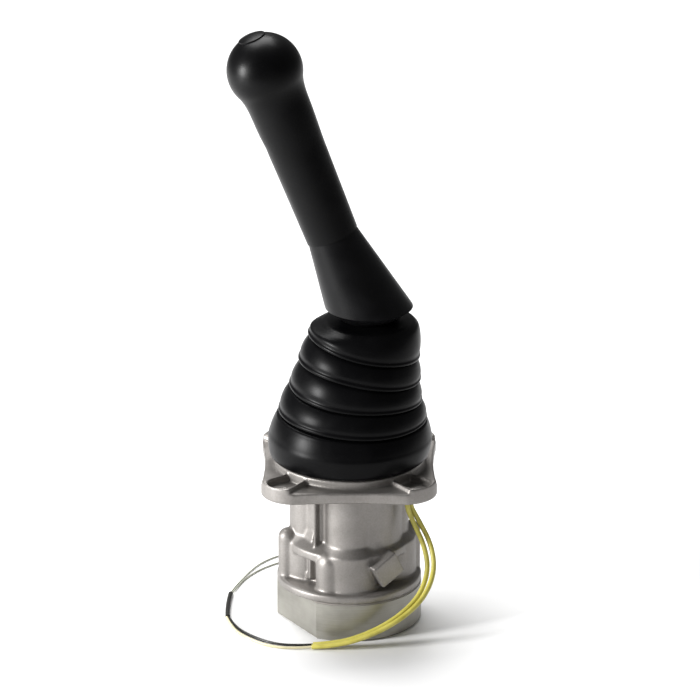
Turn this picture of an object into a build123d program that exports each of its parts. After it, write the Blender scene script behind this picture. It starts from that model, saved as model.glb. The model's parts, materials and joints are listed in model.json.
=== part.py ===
from build123d import *
import os
from math import cos, radians, sin, sqrt, tan

os.makedirs("parts", exist_ok=True)

# Hydraulic pilot joystick valve, in millimetres and degrees.
# Origin: centre of the underside. +Z runs up to the grip, -Y faces the operator.

# ---- Driving dimensions ----

# Port block, the round foot with the hydraulic ports on its underside
block_radius = 43.0
block_height = 23.0
block_edge_chamfer = 1.0
flat_distance = 36.7
flat_angle = 211.5
port_radius = 5.725
port_depth = 12.0
work_port_circle = 30.0
supply_port_offset = 12.0
channel_width = 5.0
channel_depth = 4.0
riser_radius = 2.5
screw_circle = 33.5
screw_radius = 3.0
screw_head_radius = 5.0
screw_head_height = 6.0
screw_socket = 5.0
screw_socket_floor = 3.0
screw_sink = 0.5
screw_grip = 12.0
dowel_radius = 2.0
dowel_length = 12.0
dowel_circle = 33.5
dowel_angle = 67.5
gasket_thickness = 1.0

# Casing: band, lobed lower body and lobed neck, which carries the mounting flange
band_height = 5.0
band_chamfer = 1.0
bore_circle = 21.0
core_radius = 28.5
body_lobe_radius = 18.8
body_height = 22.0
shoulder_height = 5.0
shoulder_radius = 36.5
neck_lobe_radius = 14.5
neck_height = 35.0
web_radius = 33.0
rib_width = 1.8
rib_reach = 33.0
rib_angle = 231.0
bullet_radius = 5.8
bullet_circle = 37.0
bullet_angles = (190.0, 8.0)
bullet_height = 23.5
half_round_radius = 8.8
half_round_circle = 31.0
half_round_angle = 249.5
half_round_height = 16.0
pad_angle = 212.0
pad_width = 13.0
pad_radius = 31.5
pad_height = 19.0
pad_lift = 2.0
pad_slot_width = 2.2
pad_slot_length = 12.0
pad_slot_spacing = 5.6
pad_slot_depth = 1.2
roof_rise = 11.0
slant_angle = 305.0
slant_width = 17.0
slant_height = 15.0
slant_reach = 42.0
slant_turn = 28.0
slant_inset = 3.0
slant_centre_height = 13.5
flange_half_width = 52.0
flange_corner_radius = 20.0
flange_thickness = 7.0
flange_floor = 3.0
flange_waist = 2.0
flange_waist_radius = 300.0
ear_rise = 3.0
ear_half_angle = 10.5
ear_wall = 2.0
bolt_edge_distance = 12.0
bolt_hole_radius = 4.5
bolt_pocket_radius = 8.0
bolt_pocket_depth = 5.0
ring_radius = 44.5
ring_inner_radius = 33.0
ring_height = 5.0

# Pressure-reducing spools and their springs, one set under each push rod
stroke = 7.4
spool_radius = 4.0
spool_travel = 1.0
spool_bore_length = 20.0
spool_neck_radius = 2.8
spool_drill_radius = 1.2
collar_radius = 5.2
collar_height = 2.0
collar_lift = 2.0
stem_radius = 1.5
stem_head_radius = 2.3
stem_head_height = 2.0
seat_radius = 8.4
seat_height = 3.0
seat_recess_radius = 4.9
seat_recess = 1.4
return_spring_length = 18.0
return_spring_radius = 7.0
return_spring_wire = 1.3
return_spring_turns = 3.5
metering_spring_radius = 3.9
metering_spring_wire = 0.9
metering_spring_turns = 4.0
gallery_inner = 13.0
gallery_outer = 18.0
gallery_height = 4.0
gallery_lift = 8.0
tank_passage_offset = 8.0
supply_passage_offset = 14.0

# Push rods, guide bushes and their seals
rod_radius = 4.0
rod_drill_radius = 2.7
rod_drill_depth = 17.0
bush_radius = 8.6
bush_shoulder_radius = 10.4
bush_shoulder_height = 3.0
bush_neck_radius = 6.8
bush_neck_height = 6.0
oring_section = 0.55
oring_groove_depth = 1.15
oring_groove_width = 1.6
wiper_radius = 5.4
wiper_height = 2.0
plate_radius = 32.5
plate_thickness = 4.0

# Universal joint
stud_radius = 6.0
stud_depth = 16.0
yoke_reach = 8.5
yoke_web = 3.5
yoke_radius = 12.0
ear_inner = 6.6
ear_thickness = 4.4
ear_radius = 4.4
pin_radius = 2.5
cross_half = 6.1
cross_thickness = 3.5
cross_chamfer = 1.2
stem_thread_radius = 7.0
stem_length = 30.0

# Actuating disc, nuts and lever
disc_radius = 27.0
disc_thickness = 6.0
disc_chamfer = 1.0
disc_gap = 0.3
adjusting_nut_flats = 28.0
adjusting_nut_height = 8.0
lock_nut_flats = 22.0
lock_nut_height = 6.0
socket_radius = 9.5
socket_length = 18.0
socket_chamfer = 0.5
lever_rod_radius = 5.5
lower_bend_radius = 16.0
upper_bend_radius = 25.0
lower_bend_lift = 3.0
lever_knee_depth = 55.7
lever_in_grip = 58.0

# Skirt and grip, whose axis leans back from the vertical
grip_lean = 21.0
seam_x = -10.0
seam_z = 241.6
skirt_x = 11.6
skirt_z = 197.0
skirt_radius = 26.0
skirt_wall = 2.5
skirt_top_radius = 15.0
skirt_top_wall = 3.0
skirt_lip_radius = 17.0
skirt_lip_height = 7.0
spigot_radius = 14.0
spigot_length = 6.0
grip_step = 0.6
bulb_radius = 22.4
bulb_height = 108.6
grip_waist_radius = 16.6
grip_waist_height = 53.5
grip_neck_radius = 17.7
grip_neck_height = 78.0
bulb_start_angle = 25.0
button_radius = 8.0
button_travel = 2.0
button_thickness = 4.0
button_proud = 0.8
button_stem_radius = 2.0
button_spring_radius = 4.4
button_spring_wire = 0.7
button_spring_length = 6.0
button_spring_turns = 3.0
switch_radius = 6.0
switch_length = 12.0

# Boot: widest radius and height of each fold, and the valleys between them
boot_base_radius = 41.5
boot_wall = 2.4
boot_top_z = 188.0
boot_fold_radii = (48.7, 43.6, 38.9, 35.9, 32.6)
boot_fold_heights = (112.5, 132.0, 147.5, 162.5, 176.5)
boot_valley_heights = (126.0, 141.5, 156.5, 170.0)
boot_valley_depth = 4.2
boot_lip = 3.2
boot_lip_inset = 1.3
boot_tilt = 12.0
boot_full_tilt_share = 0.85
boot_collar_radius = 17.2
boot_seat = 4.0

# Horn leads: grommet, sleeves, wires and terminals
grommet_circle = 37.8
grommet_angle = -25.0
grommet_half_width = 2.6
lead_spacing = 3.5
grommet_lip_rise = 1.0
grommet_lip = 2.0
sleeve_radius = 1.5
wire_radius = 1.0
tail_radius = 0.7
shrink_radius = 2.6
terminal_radius = 2.2
terminal_length = 14.0
terminal_pin_radius = 1.4
terminal_pin_length = 8.0
terminal_pin_chamfer = 0.7
lead_arc_share = 0.45

# Fits
running_gap = 0.03
part_gap = 0.3
touch_gap = 0.1

# ---- Heights and places worked out from the sizes above ----
casing_z = block_height + gasket_thickness
band_top = casing_z + band_height
body_top = band_top + body_height
neck_z = body_top + shoulder_height
flange_z = neck_z + neck_height
flange_top = flange_z + flange_thickness
ear_top = flange_top + ear_rise
ring_top = flange_top + ring_height
recess_z = flange_z + flange_floor
plate_top = recess_z + plate_thickness
bush_top = recess_z + bush_neck_height

cavity_floor = casing_z + spool_bore_length
seat_z = cavity_floor + return_spring_length
seat_top = seat_z + seat_height
bush_bottom = seat_top + stroke + part_gap
pivot_z = plate_top + yoke_web + yoke_reach
disc_z = pivot_z + yoke_reach + yoke_web
rod_top = disc_z - disc_gap
collar_z = cavity_floor + collar_lift
stem_top = seat_top + (rod_drill_depth + stem_head_height) / 2

lean_sin = sin(radians(grip_lean))
lean_cos = cos(radians(grip_lean))
grip_direction = Vector(-lean_sin, 0, lean_cos)
seam = Vector(seam_x, 0, seam_z)
grip_axis = Axis((seam_x, 0, seam_z), (-lean_sin, 0, lean_cos))
# Local X of this plane is the radius from the grip's axis and local Y runs up that axis.
grip_profile_plane = Plane(origin=(seam_x, 0, seam_z), x_dir=(lean_cos, 0, lean_sin), z_dir=(0, -1, 0))
quarters = {"right": 0, "back": 90, "left": 180, "front": 270}
BASE = (Align.CENTER, Align.CENTER, Align.MIN)
channel_length = work_port_circle * sin(radians(45))
bolt_spacing = 2 * (flange_half_width - bolt_edge_distance)
bolt_circle = bolt_spacing / 2 * sqrt(2)
wedge_corner = (2 * flange_half_width, 2 * flange_half_width * tan(radians(ear_half_angle)))
pocket_corner = (bolt_circle, bolt_circle * tan(radians(ear_half_angle)) - ear_wall)
spool_z = casing_z + spool_travel + part_gap
lead_hole_width = 2 * (grommet_half_width + running_gap)


def polar(radius, angle):
    return radius * cos(radians(angle)), radius * sin(radians(angle))


def write(piece, name):
    piece.part.label = name
    export_step(piece.part, f"parts/{name}.step")


def grip_section(distance):
    """Plane square to the grip's axis, at a distance up it from the seam."""
    return Plane(
        origin=tuple(seam + grip_direction * distance),
        x_dir=(lean_cos, 0, lean_sin),
        z_dir=tuple(grip_direction),
    )


# ---- Port block, gasket, screws and dowels ----
with BuildPart() as port_block:
    with BuildSketch():
        Circle(block_radius)
        with PolarLocations(flat_distance + block_radius, 1, start_angle=flat_angle):
            Rectangle(2 * block_radius, 3 * block_radius, mode=Mode.SUBTRACT)
    extrude(amount=block_height)
    chamfer(port_block.faces().sort_by(Axis.Z)[0].outer_wire().edges(), block_edge_chamfer)
    with BuildSketch():
        with PolarLocations(work_port_circle, 4, start_angle=45):
            Circle(port_radius)
        with Locations((supply_port_offset, 0), (-supply_port_offset, 0)):
            Circle(port_radius)
    extrude(amount=port_depth, mode=Mode.SUBTRACT)
    # Risers lead from the ports up to the gasket face.
    with BuildSketch(Plane.XY.offset(port_depth)):
        with PolarLocations(work_port_circle, 4, start_angle=45):
            Circle(riser_radius)
        with Locations((supply_passage_offset, 0), (-tank_passage_offset, 0)):
            Circle(riser_radius)
    extrude(amount=block_height - port_depth, mode=Mode.SUBTRACT)
    # Open channels in the top face lead each working port to its spool bore.
    with BuildSketch(Plane.XY.offset(block_height)):
        with PolarLocations(0, 4):
            with Locations((bore_circle, channel_length / 2)):
                SlotCenterToCenter(channel_length, channel_width, rotation=90)
    extrude(amount=-channel_depth, mode=Mode.SUBTRACT)
    with PolarLocations(screw_circle, 4):
        Hole(screw_radius + part_gap)
    with BuildSketch():
        with PolarLocations(screw_circle, 4):
            Circle(screw_head_radius + part_gap)
    extrude(amount=screw_head_height + screw_sink, mode=Mode.SUBTRACT)
    with BuildSketch(Plane.XY.offset(block_height)):
        with PolarLocations(dowel_circle, 2, start_angle=dowel_angle):
            Circle(dowel_radius + running_gap)
    extrude(amount=-dowel_length / 2, mode=Mode.SUBTRACT)
write(port_block, "port_block")

with BuildPart() as port_gasket:
    with BuildSketch(Plane.XY.offset(block_height)):
        Circle(block_radius - part_gap)
        with PolarLocations(flat_distance - part_gap + block_radius, 1, start_angle=flat_angle):
            Rectangle(2 * block_radius, 3 * block_radius, mode=Mode.SUBTRACT)
        with PolarLocations(bore_circle, 4):
            Circle(spool_radius + part_gap, mode=Mode.SUBTRACT)
        with Locations((supply_passage_offset, 0), (-tank_passage_offset, 0)):
            Circle(riser_radius, mode=Mode.SUBTRACT)
        with PolarLocations(screw_circle, 4):
            Circle(screw_radius + part_gap, mode=Mode.SUBTRACT)
        with PolarLocations(dowel_circle, 2, start_angle=dowel_angle):
            Circle(dowel_radius + part_gap, mode=Mode.SUBTRACT)
    extrude(amount=gasket_thickness)
write(port_gasket, "port_gasket")

with BuildPart() as port_block_screws:
    with BuildSketch(Plane.XY.offset(screw_sink)):
        with PolarLocations(screw_circle, 4):
            Circle(screw_head_radius)
            RegularPolygon(screw_socket / 2, 6, major_radius=False, mode=Mode.SUBTRACT)
    extrude(amount=screw_head_height - screw_socket_floor)
    with BuildSketch(Plane.XY.offset(screw_sink + screw_head_height - screw_socket_floor)):
        with PolarLocations(screw_circle, 4):
            Circle(screw_head_radius)
    extrude(amount=screw_socket_floor)
    with BuildSketch(Plane.XY.offset(screw_sink + screw_head_height)):
        with PolarLocations(screw_circle, 4):
            Circle(screw_radius)
    extrude(amount=casing_z + screw_grip - screw_sink - screw_head_height)
write(port_block_screws, "port_block_screws")

with BuildPart() as locating_dowels:
    with BuildSketch(Plane.XY.offset(block_height - dowel_length / 2 + touch_gap)):
        with PolarLocations(dowel_circle, 2, start_angle=dowel_angle):
            Circle(dowel_radius)
    extrude(amount=dowel_length - 2 * touch_gap)
write(locating_dowels, "locating_dowels")

# ---- Casing: the casting from the gasket face up to the floor of the flange's recess ----


def neck_section(clearance=0.0):
    """The neck's section: four slim lobes, a plain web in the front right quarter and a thin rib."""
    web_side = web_radius + 2 * clearance
    with BuildSketch(mode=Mode.PRIVATE) as section:
        Circle(web_radius + clearance)
        with Locations((web_radius / 2, -web_radius / 2)):
            Rectangle(web_side, web_side, mode=Mode.INTERSECT)
        Circle(core_radius + clearance)
        with PolarLocations(bore_circle, 4):
            Circle(neck_lobe_radius + clearance)
        with PolarLocations(rib_reach / 2, 1, start_angle=rib_angle):
            Rectangle(rib_reach + 2 * clearance, rib_width + 2 * clearance)
    return section.sketch


with BuildPart() as casing:
    with BuildSketch(Plane.XY.offset(casing_z)):
        Circle(block_radius)
    extrude(amount=band_height)
    chamfer(casing.faces().sort_by(Axis.Z)[-1].edges(), band_chamfer)
    # Lower body: a lobe round each spool bore
    with BuildSketch(Plane.XY.offset(band_top)):
        Circle(core_radius)
        with PolarLocations(bore_circle, 4):
            Circle(body_lobe_radius)
    extrude(amount=body_height)
    # Shoulder, where the wide lobes step in to the neck's lobes
    with Locations((0, 0, body_top)):
        with PolarLocations(bore_circle, 4):
            Cone(body_lobe_radius, neck_lobe_radius, shoulder_height, align=BASE)
        Cone(shoulder_radius, core_radius, shoulder_height, align=BASE)
    with Locations((0, 0, body_top - shoulder_height)):
        Cylinder(shoulder_radius, shoulder_height, align=BASE)
    with BuildSketch(Plane.XY.offset(body_top)):
        add(neck_section())
    extrude(amount=recess_z - body_top)
    # Domed bosses over the drilled cross passages
    for angle in bullet_angles:
        bullet_x, bullet_y = polar(bullet_circle, angle)
        with Locations((bullet_x, bullet_y, band_top)):
            Cylinder(bullet_radius, bullet_height, align=BASE)
        with Locations((bullet_x, bullet_y, band_top + bullet_height)):
            Sphere(bullet_radius)
    # Half-round boss on the front lobe's left flank
    half_round_x, half_round_y = polar(half_round_circle, half_round_angle)
    with Locations((half_round_x, half_round_y, band_top)):
        Cylinder(half_round_radius, half_round_height, align=BASE)
    with Locations((half_round_x, half_round_y, band_top + half_round_height)):
        Sphere(half_round_radius)
    # Pad between the left and front lobes, with two slots under a steep roof
    pad_bottom = band_top + pad_lift
    pad_top = pad_bottom + pad_height
    pad_side = Plane(origin=(0, 0, 0), x_dir=(*polar(1, pad_angle), 0), z_dir=(*polar(1, pad_angle - 90), 0))
    with BuildSketch(pad_side):
        with BuildLine():
            Polyline(
                (bore_circle, pad_bottom),
                (pad_radius, pad_bottom),
                (pad_radius, pad_top),
                (core_radius, pad_top + roof_rise),
                (bore_circle, pad_top + roof_rise),
                close=True,
            )
        make_face()
    extrude(amount=pad_width / 2, both=True)
    pad_face = Plane(
        origin=(*polar(pad_radius, pad_angle), (pad_bottom + pad_top) / 2),
        x_dir=(*polar(1, pad_angle + 90), 0),
        z_dir=(*polar(1, pad_angle), 0),
    )
    with BuildSketch(pad_face):
        with GridLocations(pad_slot_spacing, 0, 2, 1):
            SlotOverall(pad_slot_length, pad_slot_width, rotation=90)
    extrude(amount=-pad_slot_depth, mode=Mode.SUBTRACT)
    # Slanted boss on the front lobe's right flank
    slant_plane = Plane(
        origin=(*polar(core_radius - slant_inset, slant_angle), band_top + slant_centre_height),
        x_dir=(*polar(1, slant_angle + 90), 0),
        z_dir=(*polar(1, slant_angle), 0),
    )
    with BuildSketch(slant_plane):
        Rectangle(slant_width, slant_height, rotation=slant_turn)
    extrude(amount=slant_reach - core_radius + slant_inset)
    # Bores: spool, spring chamber and bush, shoulder seat
    with BuildSketch(Plane.XY.offset(casing_z)):
        with PolarLocations(bore_circle, 4):
            Circle(spool_radius + running_gap)
    extrude(amount=spool_bore_length, mode=Mode.SUBTRACT)
    with BuildSketch(Plane.XY.offset(cavity_floor)):
        with PolarLocations(bore_circle, 4):
            Circle(bush_radius + running_gap)
    extrude(amount=recess_z - cavity_floor, mode=Mode.SUBTRACT)
    with BuildSketch(Plane.XY.offset(recess_z)):
        with PolarLocations(bore_circle, 4):
            Circle(bush_shoulder_radius + touch_gap)
        Circle(stud_radius + running_gap)
    extrude(amount=-bush_shoulder_height, mode=Mode.SUBTRACT)
    with BuildSketch(Plane.XY.offset(recess_z)):
        Circle(stud_radius + running_gap)
    extrude(amount=-stud_depth - part_gap, mode=Mode.SUBTRACT)
    # Supply gallery round the spools, and the tank passage up to the spring chambers
    with BuildSketch(Plane.XY.offset(casing_z + gallery_lift)):
        Circle(gallery_outer)
        Circle(gallery_inner, mode=Mode.SUBTRACT)
    extrude(amount=gallery_height, mode=Mode.SUBTRACT)
    with BuildSketch(Plane.XY.offset(casing_z)):
        with Locations((supply_passage_offset, 0)):
            Circle(riser_radius)
    extrude(amount=gallery_lift + gallery_height / 2, mode=Mode.SUBTRACT)
    with BuildSketch(Plane.XY.offset(casing_z)):
        with Locations((-tank_passage_offset, 0)):
            Circle(riser_radius)
    extrude(amount=spool_bore_length + collar_lift, mode=Mode.SUBTRACT)
    with BuildSketch(Plane.XY.offset(cavity_floor + collar_lift)):
        Circle(gallery_inner)
    extrude(amount=gallery_height, mode=Mode.SUBTRACT)
    # Tapped holes for the port block's screws, and the dowels' holes
    with BuildSketch(Plane.XY.offset(casing_z)):
        with PolarLocations(screw_circle, 4):
            Circle(screw_radius + running_gap)
    extrude(amount=screw_grip + part_gap, mode=Mode.SUBTRACT)
    with BuildSketch(Plane.XY.offset(casing_z)):
        with PolarLocations(dowel_circle, 2, start_angle=dowel_angle):
            Circle(dowel_radius + running_gap)
    extrude(amount=dowel_length / 2, mode=Mode.SUBTRACT)
write(casing, "casing")

# ---- Mounting flange: cast with the neck, with waisted sides, four ears and the boot's ring ----
with BuildPart() as mounting_flange:
    with BuildSketch(Plane.XY.offset(flange_z)):
        RectangleRounded(2 * flange_half_width, 2 * flange_half_width, flange_corner_radius)
        with PolarLocations(flange_half_width - flange_waist + flange_waist_radius, 4):
            Circle(flange_waist_radius, mode=Mode.SUBTRACT)
    extrude(amount=flange_thickness)
    # Raised ears, one on each corner between two radial flanks
    with BuildSketch(Plane.XY.offset(flange_top)):
        RectangleRounded(2 * flange_half_width, 2 * flange_half_width, flange_corner_radius)
        with BuildSketch(mode=Mode.PRIVATE) as ear_wedges:
            with PolarLocations(0, 4, start_angle=45):
                Polygon((0, 0), wedge_corner, (wedge_corner[0], -wedge_corner[1]), align=None)
        add(ear_wedges.sketch, mode=Mode.INTERSECT)
    extrude(amount=ear_rise)
    with BuildSketch(Plane.XY.offset(flange_top)):
        Circle(ring_radius)
    extrude(amount=ring_height)
    # Bolt pockets, open towards the ring, and the mounting holes in them
    with BuildSketch(Plane.XY.offset(ear_top)):
        with PolarLocations(bolt_circle, 4, start_angle=45):
            Circle(bolt_pocket_radius)
        with BuildSketch(mode=Mode.PRIVATE) as pocket_tails:
            with PolarLocations(0, 4, start_angle=45):
                Polygon((0, 0), pocket_corner, (pocket_corner[0], -pocket_corner[1]), align=None)
            Circle(ring_radius, mode=Mode.SUBTRACT)
        add(pocket_tails.sketch)
        Circle(ring_radius, mode=Mode.SUBTRACT)
    extrude(amount=-bolt_pocket_depth, mode=Mode.SUBTRACT)
    with BuildSketch(Plane.XY.offset(flange_z)):
        with GridLocations(bolt_spacing, bolt_spacing, 2, 2):
            Circle(bolt_hole_radius)
    extrude(amount=flange_thickness + ear_rise, mode=Mode.SUBTRACT)
    # The neck's place, and the open centre for the retaining plate
    with BuildSketch(Plane.XY.offset(flange_z)):
        add(neck_section(running_gap))
    extrude(amount=flange_floor, mode=Mode.SUBTRACT)
    with BuildSketch(Plane.XY.offset(flange_z)):
        Circle(ring_inner_radius)
    extrude(amount=ring_top - flange_z, mode=Mode.SUBTRACT)
    # The leads' hole, and the seat of its grommet's lip in the underside
    with BuildSketch(Plane.XY.offset(flange_z)):
        with PolarLocations(grommet_circle, 1, start_angle=grommet_angle):
            SlotCenterToCenter(lead_spacing, lead_hole_width, rotation=90)
    extrude(amount=ring_top - flange_z, mode=Mode.SUBTRACT)
    with BuildSketch(Plane.XY.offset(flange_z)):
        with PolarLocations(grommet_circle, 1, start_angle=grommet_angle):
            SlotCenterToCenter(lead_spacing, lead_hole_width + 2 * grommet_lip_rise, rotation=90)
    extrude(amount=grommet_lip, mode=Mode.SUBTRACT)
write(mounting_flange, "mounting_flange")

# ---- Retaining plate, guide bushes, O-rings and wipers ----
with BuildPart() as retaining_plate:
    with BuildSketch(Plane.XY.offset(recess_z)):
        Circle(plate_radius)
        Circle(stud_radius + touch_gap, mode=Mode.SUBTRACT)
        with PolarLocations(bore_circle, 4):
            Circle(bush_neck_radius + touch_gap, mode=Mode.SUBTRACT)
    extrude(amount=plate_thickness)
write(retaining_plate, "retaining_plate")

groove_bottom = (bush_bottom + recess_z - bush_shoulder_height - oring_groove_width) / 2
groove_radius = bush_radius - oring_groove_depth
wiper_z = bush_top - wiper_height

with BuildPart() as oring_group:
    for angle in quarters.values():
        with Locations((*polar(bore_circle, angle), groove_bottom + oring_groove_width / 2)):
            Torus(bush_radius - oring_section, oring_section)
write(oring_group, "bush_o_rings")

with BuildPart() as rod_wipers:
    with BuildSketch(Plane.XY.offset(wiper_z)):
        with PolarLocations(bore_circle, 4):
            Circle(wiper_radius - touch_gap)
            Circle(rod_radius + 2 * running_gap, mode=Mode.SUBTRACT)
    extrude(amount=wiper_height)
write(rod_wipers, "rod_wipers")


def coil(x, y, bottom, top, radius, wire, turns):
    """Path and section plane of a square-wire spring that stands on bottom and reaches top."""
    rise = top - bottom - 2 * wire
    helix = Helix(rise / turns, rise, radius, center=(x, y, bottom + wire), mode=Mode.PRIVATE)
    return helix, Plane(origin=helix @ 0, z_dir=helix % 0)


for place, angle in quarters.items():
    x, y = polar(bore_circle, angle)
    bore_plane = Plane(origin=(x, y, 0), x_dir=(1, 0, 0), z_dir=(0, -1, 0))
    bore_axis = Axis((x, y, 0), (0, 0, 1))

    with BuildPart() as guide_bush:
        with BuildSketch(bore_plane):
            with BuildLine():
                Polyline(
                    (rod_radius + running_gap, bush_bottom),
                    (bush_radius, bush_bottom),
                    (bush_radius, groove_bottom),
                    (groove_radius, groove_bottom),
                    (groove_radius, groove_bottom + oring_groove_width),
                    (bush_radius, groove_bottom + oring_groove_width),
                    (bush_radius, recess_z - bush_shoulder_height),
                    (bush_shoulder_radius, recess_z - bush_shoulder_height),
                    (bush_shoulder_radius, recess_z),
                    (bush_neck_radius, recess_z),
                    (bush_neck_radius, bush_top),
                    (wiper_radius, bush_top),
                    (wiper_radius, wiper_z),
                    (rod_radius + running_gap, wiper_z),
                    close=True,
                )
            make_face()
        revolve(axis=bore_axis)
    write(guide_bush, f"guide_bush_{place}")

    with BuildPart() as push_rod:
        with BuildSketch(bore_plane):
            with BuildLine():
                Polyline(
                    (0, seat_top + rod_drill_depth),
                    (rod_drill_radius, seat_top + rod_drill_depth),
                    (rod_drill_radius, seat_top),
                    (rod_radius, seat_top),
                    (rod_radius, rod_top - rod_radius),
                )
                JernArc((rod_radius, rod_top - rod_radius), (0, 1), rod_radius, 90)
                Line((0, rod_top), (0, seat_top + rod_drill_depth))
            make_face()
        revolve(axis=bore_axis)
    write(push_rod, f"push_rod_{place}")

    with BuildPart() as spring_seat:
        with BuildSketch(bore_plane):
            with BuildLine():
                Polyline(
                    (stem_radius + part_gap, seat_z + seat_recess),
                    (seat_recess_radius, seat_z + seat_recess),
                    (seat_recess_radius, seat_z),
                    (seat_radius, seat_z),
                    (seat_radius, seat_top),
                    (stem_radius + part_gap, seat_top),
                    close=True,
                )
            make_face()
        revolve(axis=bore_axis)
    write(spring_seat, f"spring_seat_{place}")

    with BuildPart() as spool:
        with BuildSketch(bore_plane):
            with BuildLine():
                Polyline(
                    (spool_drill_radius, spool_z),
                    (spool_radius, spool_z),
                    (spool_radius, casing_z + gallery_lift),
                    (spool_neck_radius, casing_z + gallery_lift),
                    (spool_neck_radius, casing_z + gallery_lift + gallery_height),
                    (spool_radius, casing_z + gallery_lift + gallery_height),
                    (spool_radius, cavity_floor - spool_travel),
                    (spool_neck_radius, cavity_floor - spool_travel),
                    (spool_neck_radius, collar_z),
                    (collar_radius, collar_z),
                    (collar_radius, collar_z + collar_height),
                    (stem_radius, collar_z + collar_height),
                    (stem_radius, stem_top - stem_head_height),
                    (stem_head_radius, stem_top - stem_head_height),
                    (stem_head_radius, stem_top),
                    (0, stem_top),
                    (0, casing_z + gallery_lift),
                    (spool_drill_radius, casing_z + gallery_lift),
                    close=True,
                )
            make_face()
        revolve(axis=bore_axis)
    write(spool, f"spool_{place}")

    return_path, return_plane = coil(
        x, y, cavity_floor, seat_z, return_spring_radius, return_spring_wire, return_spring_turns
    )
    with BuildPart() as return_spring:
        with BuildSketch(return_plane):
            Rectangle(return_spring_wire, return_spring_wire)
        sweep(path=return_path, is_frenet=True)
    write(return_spring, f"return_spring_{place}")

    metering_path, metering_plane = coil(
        x,
        y,
        collar_z + collar_height,
        seat_z + seat_recess,
        metering_spring_radius,
        metering_spring_wire,
        metering_spring_turns,
    )
    with BuildPart() as metering_spring:
        with BuildSketch(metering_plane):
            Rectangle(metering_spring_wire, metering_spring_wire)
        sweep(path=metering_path, is_frenet=True)
    write(metering_spring, f"metering_spring_{place}")

# ---- Universal joint: stud with the lower fork, cross, and upper fork with its threaded stem ----
with BuildPart() as joint_stud:
    with BuildSketch(Plane.XY.offset(recess_z - stud_depth)):
        Circle(stud_radius)
    extrude(amount=stud_depth + plate_thickness)
    with BuildSketch(Plane.XY.offset(plate_top)):
        Circle(yoke_radius)
    extrude(amount=yoke_web)
    with BuildSketch(Plane.YZ.offset(ear_inner)):
        with Locations((0, pivot_z - yoke_reach / 2)):
            Rectangle(2 * ear_radius, yoke_reach)
        with Locations((0, pivot_z)):
            Circle(ear_radius)
            Circle(pin_radius + running_gap, mode=Mode.SUBTRACT)
    extrude(amount=ear_thickness)
    mirror(about=Plane.YZ)
write(joint_stud, "joint_stud")

with BuildPart() as joint_cross:
    with Locations((0, 0, pivot_z)):
        Box(2 * cross_half, 2 * cross_half, 2 * cross_thickness)
        Cylinder(pin_radius, 2 * (ear_inner + ear_thickness), rotation=(0, 90, 0))
        Cylinder(pin_radius, 2 * (ear_inner + ear_thickness), rotation=(90, 0, 0))
    chamfer(joint_cross.edges().filter_by(Axis.Z), cross_chamfer)
write(joint_cross, "joint_cross")

with BuildPart() as joint_yoke:
    with BuildSketch(Plane.XY.offset(pivot_z + yoke_reach)):
        Circle(yoke_radius)
    extrude(amount=yoke_web)
    with BuildSketch(Plane.XY.offset(disc_z)):
        Circle(stem_thread_radius)
    extrude(amount=stem_length)
    with BuildSketch(Plane.XZ.offset(ear_inner)):
        with Locations((0, pivot_z + yoke_reach / 2)):
            Rectangle(2 * ear_radius, yoke_reach)
        with Locations((0, pivot_z)):
            Circle(ear_radius)
            Circle(pin_radius + running_gap, mode=Mode.SUBTRACT)
    extrude(amount=ear_thickness)
    mirror(about=Plane.XZ)
write(joint_yoke, "joint_yoke")

# ---- Actuating disc, nuts and lever rod ----
with BuildPart() as actuating_disc:
    with BuildSketch(Plane.XY.offset(disc_z)):
        Circle(disc_radius)
        Circle(stem_thread_radius + running_gap, mode=Mode.SUBTRACT)
    extrude(amount=disc_thickness)
    chamfer(actuating_disc.edges().filter_by(GeomType.CIRCLE).group_by(SortBy.RADIUS)[-1], disc_chamfer)
write(actuating_disc, "actuating_disc")

nut_z = disc_z + disc_thickness
with BuildPart() as adjusting_nut:
    with BuildSketch(Plane.XY.offset(nut_z)):
        RegularPolygon(adjusting_nut_flats / 2, 6, major_radius=False)
        Circle(stem_thread_radius + running_gap, mode=Mode.SUBTRACT)
    extrude(amount=adjusting_nut_height)
write(adjusting_nut, "adjusting_nut")

lock_nut_z = nut_z + adjusting_nut_height
with BuildPart() as lock_nut:
    with BuildSketch(Plane.XY.offset(lock_nut_z)):
        RegularPolygon(lock_nut_flats / 2, 6, major_radius=False)
        Circle(stem_thread_radius + running_gap, mode=Mode.SUBTRACT)
    extrude(amount=lock_nut_height)
write(lock_nut, "lock_nut")

socket_z = lock_nut_z + lock_nut_height
rod_start_z = socket_z + socket_length
with BuildPart() as lever_rod:
    with BuildLine() as rod_path:
        FilletPolyline(
            (0, 0, rod_start_z - lever_rod_radius),
            (0, 0, rod_start_z + lower_bend_lift),
            tuple(seam - grip_direction * lever_knee_depth),
            tuple(seam + grip_direction * lever_in_grip),
            radius=[lower_bend_radius, upper_bend_radius],
        )
    with BuildSketch(Plane(origin=rod_path.line @ 0, z_dir=rod_path.line % 0)):
        Circle(lever_rod_radius)
    sweep(path=rod_path.line)
    with BuildSketch(Plane.XY.offset(socket_z)):
        Circle(socket_radius)
    extrude(amount=socket_length)
    chamfer(lever_rod.faces().sort_by(Axis.Z)[0].outer_wire().edges(), socket_chamfer)
    with BuildSketch(Plane.XY.offset(socket_z)):
        Circle(stem_thread_radius + running_gap)
    extrude(amount=disc_z + stem_length + part_gap - socket_z, mode=Mode.SUBTRACT)
write(lever_rod, "lever_rod")

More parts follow.
